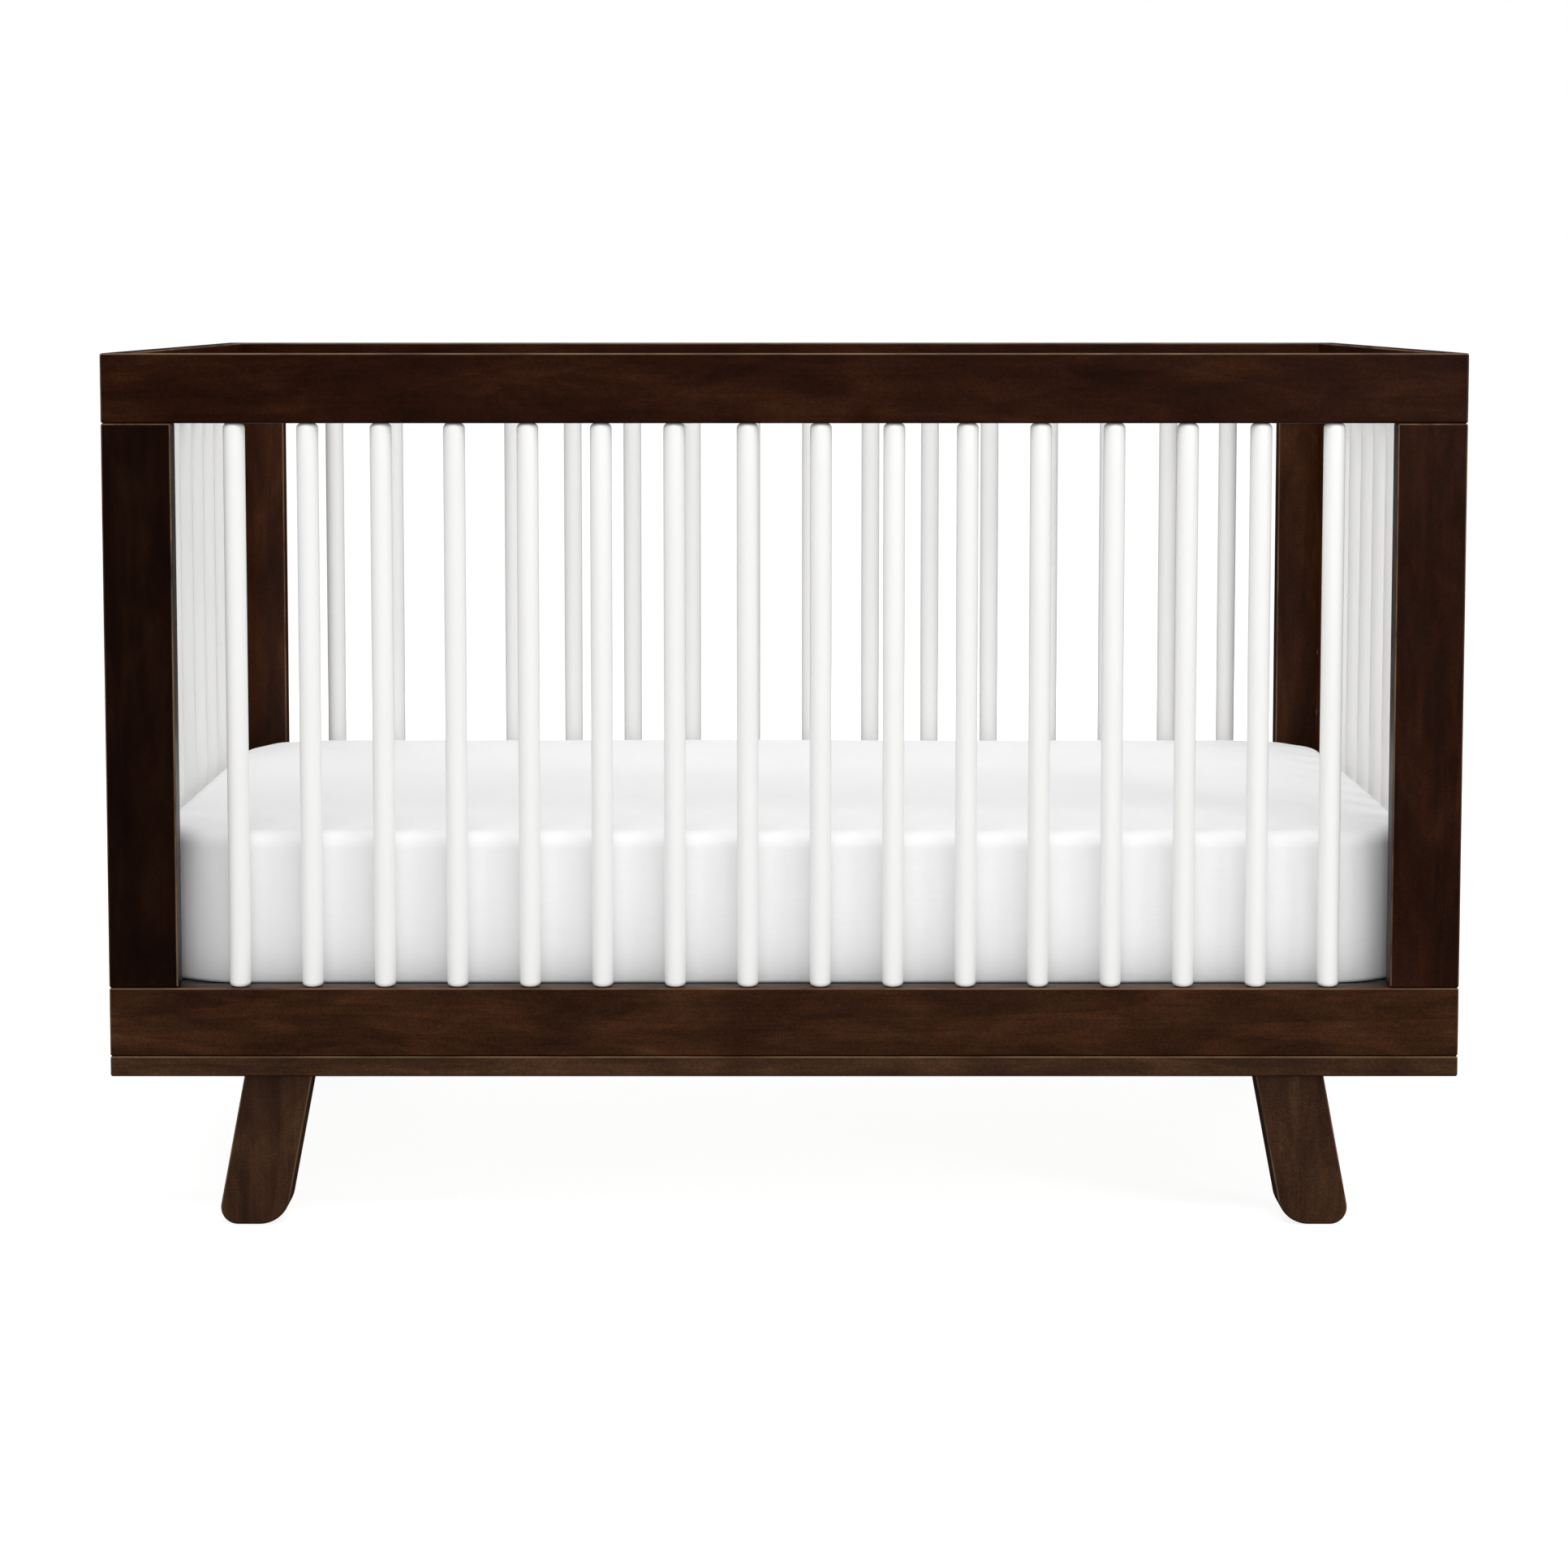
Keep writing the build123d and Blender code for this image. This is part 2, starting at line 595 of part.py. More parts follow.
def hangers():
    """Hook plates: an arm riveted to the end bar, and a wing whose slot drops over a bolt."""
    rivets = []
    for sx, sy in CORNERS:
        outer = FRAME_END_X + HANGER_THICK
        x = (sx * FRAME_END_X, sx * outer)
        arm = block(x, tuple(sy * y for y in HANGER_ARM), (HANGER_LOW, HANGER_TOP))
        wing = block(x, tuple(sy * y for y in HANGER_WING), (WING_LOW, HANGER_TOP))
        plate = arm + wing
        corners = [
            edge
            for edge in plate.edges().filter_by(Axis.X)
            if edge.center().Z in (HANGER_LOW, HANGER_TOP) or abs(edge.center().Y) == HANGER_WING[1]
        ]
        plate = fillet(corners, HANGER_THICK)
        slot = block(x, (sy * (HANG_Y - HOOK_R), sy * (HANG_Y + HOOK_R)), (WING_LOW, LEVEL_FIRST))
        eye = rod((sx * FRAME_END_X, sy * HANG_Y, LEVEL_FIRST), (sx, 0, 0), HANGER_THICK, HOOK_R)
        plate -= [slot, eye]
        for y in RIVET_Y:
            start = (sx * outer, sy * y, RIVET_Z)
            plate -= rod(start, (-sx, 0, 0), HANGER_THICK, RIVET_R + FIT)
            shank = rod(start, (-sx, 0, 0), HANGER_THICK + STEEL, RIVET_R)
            seat = (sx * (FRAME_END_X - STEEL), sy * y, RIVET_Z)
            rivets.append(shank + rod(seat, (-sx, 0, 0), RIVET_HEAD_HIGH, RIVET_HEAD_R))
        save(plate, f"{DEPTH_NAME[sy]}_{SIDE_NAME[sx]}_hanger")
    save(rivets, "hanger_rivets")


def wire_grid():
    """Straight wires welded where they cross, the cross wires under the long ones."""
    reach_x = WIRE_X[-1] + WIRE_R
    reach_y = WIRE_Y[-1] + WIRE_R
    under = WIRE_HIGH - 2 * WIRE_R + WELD
    grid = [rod((-reach_x, y, WIRE_HIGH), (1, 0, 0), 2 * reach_x, WIRE_R) for y in WIRE_Y]
    grid += [rod((x, -reach_y, under), (0, 1, 0), 2 * reach_y, WIRE_R) for x in WIRE_X]
    save(grid[0].fuse(*grid[1:]), "spring_grid")


def spring(hole, inwards, reach):
    """A tension spring from a hole in a bar to the grid: a coil with a wire hook at each end."""
    hole = Vector(*hole)
    way = Vector(*inwards)
    long = reach - COIL_FROM_HOLE - COIL_FROM_WIRE
    coil = rod(hole + way * COIL_FROM_HOLE, inwards, long, COIL_R)
    wire = rod(hole, inwards, reach, HOOK_WIRE_R)
    up = rod(hole, (0, 0, 1), FRAME_TOP - SPRING_HIGH, HOOK_WIRE_R)
    knee = Pos(hole) * Sphere(HOOK_WIRE_R)
    return coil + wire + up + knee


def springs():
    coils = []
    hole_y = FRAME_Y - HOLE_IN
    hole_x = FRAME_END_X - HOLE_IN
    room = WIRE_R + WIRE_GAP
    for sy in SIDES:
        for x in WIRE_X:
            reach = hole_y - WIRE_Y[-1] - room
            coils.append(spring((x, sy * hole_y, SPRING_HIGH), (0, -sy, 0), reach))
    for sx in SIDES:
        for y in WIRE_Y:
            reach = hole_x - WIRE_X[-1] - room
            coils.append(spring((sx * hole_x, y, SPRING_HIGH), (-sx, 0, 0), reach))
    save(coils, "support_springs")


# ------------------------------------------------------------------ mattress and sheet
def pad(inset, corner, edge):
    """A mattress-shaped solid, smaller all round than the finished size by an inset."""
    long, wide, high = (size - 2 * inset for size in MATTRESS)
    raw = Pos(0, 0, MATTRESS_UNDER + inset) * Box(
        long, wide, high, align=(Align.CENTER, Align.CENTER, Align.MIN)
    )
    raw = fillet(raw.edges().filter_by(Axis.Z), corner)
    rims = raw.faces().filter_by(Axis.Z).edges()
    return fillet(rims, edge)


def mattress_and_sheet():
    """A foam mattress, and the fitted sheet that wraps it and turns in underneath."""
    core_corner = MATTRESS_CORNER_R - SHEET_THICK
    core_edge = MATTRESS_EDGE_R - SHEET_THICK
    core = pad(SHEET_THICK, core_corner, core_edge)
    inside = pad(SHEET_THICK + CORE_SKIN, core_corner - CORE_SKIN, core_edge - CORE_SKIN)
    save(core - inside, "mattress_core")
    mouth_x = MATTRESS[0] - 2 * SHEET_HEM
    mouth_y = MATTRESS[1] - 2 * SHEET_HEM
    mouth = Pos(0, 0, MATTRESS_UNDER + SHEET_THICK / 2) * Box(mouth_x, mouth_y, 2 * SHEET_THICK)
    save(pad(0.0, MATTRESS_CORNER_R, MATTRESS_EDGE_R) - core - mouth, "fitted_sheet")


long_rail_parts()
end_rail_parts()
panel_fasteners()
base_frame()
legs()
hanging_hardware()
support_frame()
hangers()
wire_grid()
springs()
mattress_and_sheet()
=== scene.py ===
import json
from math import cos, pi, radians, sin

import bmesh
import bpy
import numpy as np
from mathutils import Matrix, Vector, noise


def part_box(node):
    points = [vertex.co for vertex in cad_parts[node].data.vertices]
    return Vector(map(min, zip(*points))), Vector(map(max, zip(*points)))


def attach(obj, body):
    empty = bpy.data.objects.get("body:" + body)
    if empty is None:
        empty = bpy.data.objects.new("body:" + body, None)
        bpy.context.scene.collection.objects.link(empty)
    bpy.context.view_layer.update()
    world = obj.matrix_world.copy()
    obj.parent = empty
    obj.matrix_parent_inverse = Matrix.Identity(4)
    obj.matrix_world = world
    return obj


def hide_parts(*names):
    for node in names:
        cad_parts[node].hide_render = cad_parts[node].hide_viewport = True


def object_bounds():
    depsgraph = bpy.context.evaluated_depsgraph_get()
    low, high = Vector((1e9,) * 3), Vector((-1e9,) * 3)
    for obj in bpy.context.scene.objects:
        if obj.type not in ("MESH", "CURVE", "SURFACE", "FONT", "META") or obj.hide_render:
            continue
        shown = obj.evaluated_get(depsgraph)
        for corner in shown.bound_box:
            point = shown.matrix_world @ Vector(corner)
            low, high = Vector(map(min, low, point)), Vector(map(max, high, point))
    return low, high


# Baby crib: dark stained boards, white turned slats, a sprung steel support and a mattress in a
# fitted white sheet. Metres, in the frame of the CAD model: X along, Y to the back, Z up.

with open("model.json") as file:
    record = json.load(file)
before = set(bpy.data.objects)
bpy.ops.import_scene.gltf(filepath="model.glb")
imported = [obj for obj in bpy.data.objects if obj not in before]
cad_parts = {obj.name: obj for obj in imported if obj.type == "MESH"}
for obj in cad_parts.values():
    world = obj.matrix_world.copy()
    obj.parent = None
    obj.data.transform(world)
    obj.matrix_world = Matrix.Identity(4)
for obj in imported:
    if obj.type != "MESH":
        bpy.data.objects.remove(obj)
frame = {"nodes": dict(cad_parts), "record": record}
NODES = frame["nodes"]
CAD_LOW, CAD_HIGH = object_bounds()
RECORD = frame["record"]

ROOT = "crib_frame"
SUPPORT = "mattress_support"
MATTRESS = "mattress"
SIDES = (-1, 1)
DEPTH_NAME = {-1: "front", 1: "back"}
SIDE_NAME = {-1: "left", 1: "right"}


# ------------------------------------------------------------------ small helpers
def mesh_object(name, verts, faces, material, smooth=True):
    """A mesh piece from points and faces, with one material."""
    mesh = bpy.data.meshes.new(name)
    mesh.from_pydata([tuple(v) for v in verts], [], faces)
    mesh.validate()
    obj = bpy.data.objects.new(name, mesh)
    bpy.context.scene.collection.objects.link(obj)
    obj.data.materials.append(material)
    mesh.polygons.foreach_set("use_smooth", [smooth] * len(mesh.polygons))
    return obj


def islands(node):
    """The separate solids of a CAD node, each as its lowest and highest corner."""
    mesh = NODES[node].data
    bm = bmesh.new()
    bm.from_mesh(mesh)
    bmesh.ops.remove_doubles(bm, verts=bm.verts, dist=1e-6)
    left = set(bm.verts)
    boxes = []
    while left:
        stack = [left.pop()]
        found = []
        while stack:
            vert = stack.pop()
            found.append(vert.co.copy())
            for edge in vert.link_edges:
                other = edge.other_vert(vert)
                if other in left:
                    left.remove(other)
                    stack.append(other)
        points = np.array(found)
        boxes.append((Vector(points.min(0)), Vector(points.max(0))))
    bm.free()
    return sorted(boxes, key=lambda b: (round(b[0].y, 4), round(b[0].x, 4)))


# ------------------------------------------------------------------ materials
class Nodes:
    """A material's node tree, with short calls to add nodes and links."""

    def __init__(self, name):
        self.material = bpy.data.materials.new(name)
        self.material.use_nodes = True
        self.tree = self.material.node_tree
        self.shader = self.tree.nodes["Principled BSDF"]

    def add(self, kind, **values):
        node = self.tree.nodes.new(kind)
        for key, value in values.items():
            if hasattr(node, key):
                setattr(node, key, value)
            else:
                node.inputs[key.replace("_", " ")].default_value = value
        return node

    def link(self, output, target):
        self.tree.links.new(output, target)

    def set(self, **values):
        for key, value in values.items():
            self.shader.inputs[key.replace("_", " ")].default_value = value

    def coords(self, scale, offset=(0, 0, 0)):
        """The object's own coordinates, stretched and moved."""
        source = self.add("ShaderNodeTexCoord")
        mapping = self.add("ShaderNodeMapping", Scale=scale, Location=offset)
        self.link(source.outputs["Object"], mapping.inputs["Vector"])
        return mapping.outputs["Vector"]

    def noise(self, vector, scale=1.0, detail=4.0, rough=0.5, distortion=0.0):
        node = self.add("ShaderNodeTexNoise", Scale=scale, Detail=detail, Roughness=rough,
                        Distortion=distortion)
        self.link(vector, node.inputs["Vector"])
        return node.outputs["Fac"]

    def ramp(self, value, stops):
        """A colour ramp; stops are (place, grey or colour)."""
        node = self.add("ShaderNodeValToRGB")
        while len(node.color_ramp.elements) < len(stops):
            node.color_ramp.elements.new(0.5)
        for element, (place, colour) in zip(node.color_ramp.elements, stops):
            element.position = place
            grey = isinstance(colour, (int, float))
            element.color = (colour, colour, colour, 1) if grey else (*colour, 1)
        self.link(value, node.inputs["Fac"])
        return node.outputs["Color"]

    def math(self, kind, *values):
        """One sum; its values are numbers or sockets."""
        node = self.add("ShaderNodeMath", operation=kind)
        for socket, value in zip(node.inputs, values):
            if isinstance(value, (int, float)):
                socket.default_value = value
            else:
                self.link(value, socket)
        return node.outputs["Value"]

    def mix(self, kind, factor, a, b):
        node = self.add("ShaderNodeMix", data_type="RGBA", blend_type=kind)
        for socket, value in zip((node.inputs[0], node.inputs[6], node.inputs[7]), (factor, a, b)):
            if isinstance(value, tuple):
                socket.default_value = (*value, 1)
            elif isinstance(value, (int, float)):
                socket.default_value = value
            else:
                self.link(value, socket)
        return node.outputs[2]

    def bump(self, height, strength, distance):
        node = self.add("ShaderNodeBump", Strength=strength, Distance=distance)
        self.link(height, node.inputs["Height"])
        self.link(node.outputs["Normal"], self.shader.inputs["Normal"])


AXES = "XYZ"
STAINS = (  # from the deepest blotches to the palest: place on the ramp, and colour
    (0.30, (0.0115, 0.0034, 0.0013)),
    (0.47, (0.0180, 0.0051, 0.0017)),
    (0.60, (0.0262, 0.0076, 0.0024)),
    (0.78, (0.0390, 0.0148, 0.0052)),
)
EDGE_HIGHLIGHT_TONE = (0.225, 0.136, 0.074)  # painted highlight: lighter brown on the upper and upright rounded edges, where they catch the light
BOARD_TONES_AND_PAINTED_LIGHT = (  # each board's colour multiplier, in red, green and blue: partly its own tone, partly painted light and shade (the left front stile darker, the right one lighter, the other stiles and the bottom rails lighter, the base rails and legs paler and greyer)
    ("top_rail", (1.02, 0.82, 0.5)),
    ("front_left_stile", (0.44, 0.4, 0.36)),
    ("front_right_stile", (0.95, 0.8, 0.62)),
    ("stile", (1.8, 1.8, 1.8)),
    ("bottom_rail", (1.65, 1.85, 1.7)),
    ("base_rail", (2.1, 3.1, 3.9)),
    ("leg", (1.9, 2.75, 3.8)),
)
LOWER_EDGE_SHADE = (0.25, 0.25, 0.25)  # painted shade: darker on the rounded edges that face downwards
FIGURE_STEP = (3.7, 1.9, 2.3)  # between one board's place in the textures and the next board's
RINGS = 9.0  # growth rings across the figure
SPECK = 520.0  # scale of the fine mottle


def along(axis, long, cross):
    """Scale of a texture that is drawn out along one axis."""
    return tuple(long if name == axis else cross for name in AXES)


def painted_edge_masks(made):
    """Two masks of a board's rounded edges: the upper and upright ones, for a painted highlight, and the
    lower ones, for painted shade.
    """
    source = made.add("ShaderNodeTexCoord")
    split = made.add("ShaderNodeSeparateXYZ")
    made.link(source.outputs["Normal"], split.inputs["Vector"])
    sizes = [made.math("ABSOLUTE", split.outputs[name]) for name in AXES]
    most = made.math("MAXIMUM", made.math("MAXIMUM", sizes[0], sizes[1]), sizes[2])
    rounded = made.ramp(most, [(0.72, 1.0), (0.86, 0.75), (0.965, 0.0)])
    upper = made.ramp(made.math("ADD", split.outputs["Z"], 1.0), [(0.62, 0.0), (0.92, 1.0)])
    lower = made.math("SUBTRACT", rounded, made.math("MULTIPLY", rounded, upper))
    return made.math("MULTIPLY", rounded, upper), lower


def espresso(name, grain, seed, tone):
    """Dark stained, satin lacquered wood; its grain runs along one axis, with each board's own figure.
    Painted into its colour: a highlight on the upper rounded edges, shade on the lower ones, and each
    board's share of painted light and shade in its tone.
    """
    made = Nodes(name)
    place = tuple(seed * step for step in FIGURE_STEP)
    figure = made.noise(made.coords(along(grain, 0.9, 8.0), place), 1.6, 2.0, 0.5, 0.6)
    rings = made.ramp(made.math("FRACT", made.math("MULTIPLY", figure, RINGS)),
                      [(0.0, 0.80), (0.5, 1.0), (0.86, 1.22), (0.95, 0.78), (1.0, 0.80)])
    pores = made.noise(made.coords(along(grain, 9.0, 420.0), place), 1.0, 3.0, 0.6)
    fibres = made.ramp(pores, [(0.3, 0.74), (0.52, 1.0), (0.75, 1.16)])
    blotch = made.noise(made.coords(along(grain, 5.0, 16.0), place), 1.6, 6.0, 0.62, 0.5)
    # each board's multiplier paints its share of light and shade into the stain
    stops = [(stop, tuple(a * b for a, b in zip(stain, tone))) for stop, stain in STAINS]
    lit = made.mix("MULTIPLY", 0.55, made.ramp(blotch, stops), rings)
    speck = made.noise(made.coords((SPECK, SPECK, SPECK), place), 1.0, 3.0, 0.7)
    mottle = made.ramp(speck, [(0.32, 0.62), (0.5, 1.0), (0.68, 1.45)])
    wood = made.mix("MULTIPLY", 0.8, made.mix("MULTIPLY", 0.6, lit, fibres), mottle)
    # painted highlight on the upper rounded edges, broken up by noise, and painted shade on the lower
    # ones
    highlight_breakup = made.noise(made.coords(along(grain, 14.0, 60.0), place), 1.0, 4.0, 0.6)
    upper, lower = painted_edge_masks(made)
    painted_highlight = made.math("MULTIPLY", upper, made.ramp(highlight_breakup, [(0.3, 0.15), (0.6, 0.75)]))
    colour = made.mix("MULTIPLY", lower, made.mix("MIX", painted_highlight, wood, EDGE_HIGHLIGHT_TONE), LOWER_EDGE_SHADE)
    made.link(colour, made.shader.inputs["Base Color"])
    haze = made.noise(made.coords(along(grain, 11.0, 30.0), place), 2.0, 4.0, 0.6)
    rough = made.ramp(haze, [(0.3, 0.30), (0.7, 0.42)])
    made.link(rough, made.shader.inputs["Roughness"])
    made.set(Specular_IOR_Level=0.13)
    height = made.math("ADD", made.math("MULTIPLY", pores, 0.7), made.math("MULTIPLY", haze, 0.3))
    made.bump(height, 0.12, 0.0004)
    return made.material


def white_lacquer():
    """White sprayed lacquer on turned wood: faint raised grain and a slight orange peel."""
    made = Nodes("white_lacquer")
    tone = made.noise(made.coords((14.0, 14.0, 3.0)), 1.0, 4.0, 0.6)
    colour = made.ramp(tone, [(0.3, (0.80, 0.797, 0.782)), (0.7, (0.83, 0.828, 0.815))])
    made.link(colour, made.shader.inputs["Base Color"])
    fibres = made.noise(made.coords((420.0, 420.0, 12.0)), 1.0, 3.0, 0.6)
    peel = made.noise(made.coords((160.0, 160.0, 160.0)), 1.0, 2.0, 0.5)
    rough = made.ramp(peel, [(0.3, 0.36), (0.7, 0.46)])
    made.link(rough, made.shader.inputs["Roughness"])
    height = made.math("ADD", made.math("MULTIPLY", fibres, 0.5), made.math("MULTIPLY", peel, 0.5))
    made.bump(height, 0.1, 0.0003)
    made.set(Specular_IOR_Level=0.45, Coat_Weight=0.2, Coat_Roughness=0.3)
    return made.material


def bare_beech():
    """Planed beech of the dowels: short dark flecks along the grain."""
    made = Nodes("bare_beech")
    flecks = made.noise(made.coords((700.0, 700.0, 60.0)), 1.0, 4.0, 0.7)
    colour = made.ramp(flecks, [(0.32, (0.36, 0.2, 0.1)), (0.5, (0.6, 0.4, 0.24)),
                                (0.8, (0.68, 0.48, 0.3))])
    made.link(colour, made.shader.inputs["Base Color"])
    rough = made.ramp(flecks, [(0.3, 0.75), (0.7, 0.6)])
    made.link(rough, made.shader.inputs["Roughness"])
    made.bump(flecks, 0.3, 0.0003)
    return made.material


def powder_coat():
    """Black powder coat on welded steel: fine pebbling, and rubbed patches with more shine."""
    made = Nodes("black_powder_coat")
    pebble = made.noise(made.coords((900.0, 900.0, 900.0)), 1.0, 2.0, 0.5)
    wear = made.noise(made.coords((9.0, 9.0, 9.0)), 1.0, 5.0, 0.65)
    colour = made.ramp(wear, [(0.35, (0.012, 0.012, 0.014)), (0.7, (0.028, 0.028, 0.031))])
    made.link(colour, made.shader.inputs["Base Color"])
    rough = made.ramp(wear, [(0.3, 0.52), (0.75, 0.36)])
    made.link(rough, made.shader.inputs["Roughness"])
    made.bump(pebble, 0.25, 0.0003)
    return made.material


def bright_steel(name, dark, light, low, high, stretch):
    """Bare or plated steel, with drawn streaks or a mottled passivated sheen."""
    made = Nodes(name)
    streak = made.noise(made.coords(stretch), 1.0, 4.0, 0.6)
    cloud = made.noise(made.coords((35.0, 35.0, 35.0)), 1.0, 4.0, 0.6)
    both = made.mix("MIX", 0.5, streak, cloud)
    colour = made.ramp(both, [(0.3, dark), (0.7, light)])
    made.link(colour, made.shader.inputs["Base Color"])
    rough = made.ramp(both, [(0.3, low), (0.7, high)])
    made.link(rough, made.shader.inputs["Roughness"])
    made.set(Metallic=1.0)
    made.bump(streak, 0.15, 0.0002)
    return made.material


def glide_plastic():
    """Dark moulded plastic of the foot glides, scuffed underneath."""
    made = Nodes("glide_plastic")
    scuff = made.noise(made.coords((160.0, 240.0, 160.0)), 1.0, 5.0, 0.7)
    colour = made.ramp(scuff, [(0.4, (0.03, 0.022, 0.017)), (0.75, (0.09, 0.07, 0.06))])
    made.link(colour, made.shader.inputs["Base Color"])
    rough = made.ramp(scuff, [(0.3, 0.45), (0.8, 0.7)])
    made.link(rough, made.shader.inputs["Roughness"])
    made.bump(scuff, 0.2, 0.0003)
    return made.material


THREAD = 0.0011  # pitch of the sheet's visible weave, a little coarser than percale so that it shows
WAVE_RATE = 20 / (2 * pi)  # bands that the wave texture lays in one metre at a scale of 1


def weave_height(made, pitch):
    """Height of a plain weave, from one set of threads along each of the object's own axes."""
    waves = []
    for axis in AXES:
        wave = made.add("ShaderNodeTexWave", wave_type="BANDS", bands_direction=axis,
                        wave_profile="SIN", Scale=1.0 / (pitch * WAVE_RATE), Distortion=0.6,
                        Detail=1.0, Detail_Scale=0.05)
        source = made.coords((1.0, 1.0, 1.0))
        made.link(source, wave.inputs["Vector"])
        waves.append(wave.outputs["Fac"])
    return made.math("ADD", made.math("ADD", waves[0], waves[1]), waves[2])


def cotton(name, low, high):
    """Plain woven white cotton: fine weave, soft slubs, a little fuzz."""
    made = Nodes(name)
    slub = made.noise(made.coords((40.0, 40.0, 300.0)), 1.0, 3.0, 0.6)
    slow = made.noise(made.coords((5.0, 5.0, 7.0)), 1.0, 3.0, 0.5)
    tone = made.math("ADD", made.math("MULTIPLY", slub, 0.35), made.math("MULTIPLY", slow, 0.65))
    colour = made.ramp(tone, [(0.3, low), (0.7, high)])
    made.link(colour, made.shader.inputs["Base Color"])
    rough = made.ramp(slub, [(0.3, 0.82), (0.7, 0.92)])
    made.link(rough, made.shader.inputs["Roughness"])
    made.set(Sheen_Weight=0.15, Sheen_Roughness=0.5, Specular_IOR_Level=0.2)
    weave = weave_height(made, THREAD)
    height = made.math("ADD", made.math("MULTIPLY", weave, 0.3), made.math("MULTIPLY", slub, 0.5))
    made.bump(height, 0.18, 0.0004)
    return made.material


LONG_BOARDS = ("top_rail", "bottom_rail", "base_rail")
MATERIALS = {}


def board_grain(node):
    """The axis that a board's grain follows."""
    if not node.endswith(LONG_BOARDS):
        return "Z"
    return "X" if node.startswith(("front", "back")) else "Y"


def board_tone_and_painted_light(node):
    """A board's colour multiplier, its own tone with painted light and shade, from the first row of the
    table that its name holds.
    """
    return next(tone for part, tone in BOARD_TONES_AND_PAINTED_LIGHT if part in node)


def dress_cad_nodes():
    """Gives every CAD node that stays in view the material of its slot."""
    slots = {row["node"]: row["material_slot"] for row in RECORD["subparts"]}
    for number, (node, obj) in enumerate(sorted(NODES.items())):
        slot = slots[node]
        if slot == "espresso_wood":
            material = espresso(f"espresso_{node}", board_grain(node), number + 1, board_tone_and_painted_light(node))
        else:
            material = MATERIALS[slot]
        obj.data.materials.clear()
        obj.data.materials.append(material)


# ------------------------------------------------------------------ turned slats
SLAT_ROUND = 40  # points round a slat
SHOULDER_STEPS = 7
SLAT_ROWS = 12  # along its straight part
SLAT_SHOULDER = 0.0052
TENON_SHOWN = 0.004  # the stub that goes into the rail


def slat_profile(low, high, radius):
    """Radius and height along a slat, from the lower tenon to the upper one."""
    neck = radius - SLAT_SHOULDER
    turns = [i / SHOULDER_STEPS * pi / 2 for i in range(SHOULDER_STEPS + 1)]
    bottom = [(neck + SLAT_SHOULDER * sin(t), low + SLAT_SHOULDER * (1 - cos(t))) for t in turns]
    straight = [low + (high - low) * i / SLAT_ROWS for i in range(1, SLAT_ROWS)]
    top = [(r, low + high - z) for r, z in reversed(bottom)]
    stub = [(neck, low - TENON_SHOWN)]
    return stub + bottom + [(radius, z) for z in straight] + top + [(neck, high + TENON_SHOWN)]


def turned_slats(name, node, white):
    """The slats of one panel, turned smooth, with their shoulders."""
    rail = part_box("front_top_rail")[0].z
    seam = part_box("front_bottom_rail")[1].z
    verts = []
    faces = []
    for low, high in islands(node):
        mid = (low + high) / 2
        profile = slat_profile(seam, rail, (high.x - low.x) / 2)
        start = len(verts)
        for radius, z in profile:
            for i in range(SLAT_ROUND):
                turn = 2 * pi * i / SLAT_ROUND
                verts.append((mid.x + radius * cos(turn), mid.y + radius * sin(turn), z))
        for row in range(len(profile) - 1):
            for i in range(SLAT_ROUND):
                j = (i + 1) % SLAT_ROUND
                a = start + row * SLAT_ROUND
                faces.append((a + i, a + j, a + SLAT_ROUND + j, a + SLAT_ROUND + i))
        faces.append(tuple(start + i for i in reversed(range(SLAT_ROUND))))
        last = start + (len(profile) - 1) * SLAT_ROUND
        faces.append(tuple(last + i for i in range(SLAT_ROUND)))
    obj = mesh_object(name, verts, faces, white)
    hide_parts(node)
    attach(obj, ROOT)


def all_slats():
    """The slats of the four panels."""
    for sy in SIDES:
        turned_slats(f"{DEPTH_NAME[sy]}_spindles", f"{DEPTH_NAME[sy]}_slats", MATERIALS["white_wood"])
    for sx in SIDES:
        turned_slats(f"{SIDE_NAME[sx]}_end_spindles", f"{SIDE_NAME[sx]}_end_slats",
                     MATERIALS["white_wood"])


# ------------------------------------------------------------------ tension springs
COIL_WIRE = 0.0008  # radius of the spring's wire
COIL_PITCH = 2.3 * COIL_WIRE  # a close coil: a little more than the wire's thickness
COIL_TURN_POINTS = 12
COIL_WIRE_ROUND = 6
COIL_R = 0.005
HOOK_R = 0.0045
BAR_HOOK_STEPS = 5
GRID_HOOK_R = 0.6 * HOOK_R
GRID_HOOK_TURN = 1.4 * pi
GRID_HOOK_STEPS = 6
END_ROOM = 0.008  # from either hook to the coil
BAR_HOOK_IN = 0.001  # from a spring's outer end to the middle of its hook in the bar
GRID_HOOK_IN = 0.0018  # from the wire grid's outside to the middle of the hook round it


def tube_along(points, radius, sides, verts, faces):
    """Adds a round wire that follows points, with closed ends."""
    path = [Vector(p) for p in points]
    start = len(verts)
    side = None
    for i, point in enumerate(path):
        ahead = path[min(i + 1, len(path) - 1)] - path[max(i - 1, 0)]
        ahead.normalize()
        if side is None:
            side = ahead.orthogonal().normalized()
        side = (side - ahead * side.dot(ahead)).normalized()
        other = ahead.cross(side)
        for k in range(sides):
            turn = 2 * pi * k / sides
            verts.append(point + (side * cos(turn) + other * sin(turn)) * radius)
    for i in range(len(path) - 1):
        for k in range(sides):
            j = (k + 1) % sides
            a = start + i * sides
            faces.append((a + k, a + j, a + sides + j, a + sides + k))
    faces.append(tuple(start + k for k in reversed(range(sides))))
    last = start + (len(path) - 1) * sides
    faces.append(tuple(last + k for k in range(sides)))


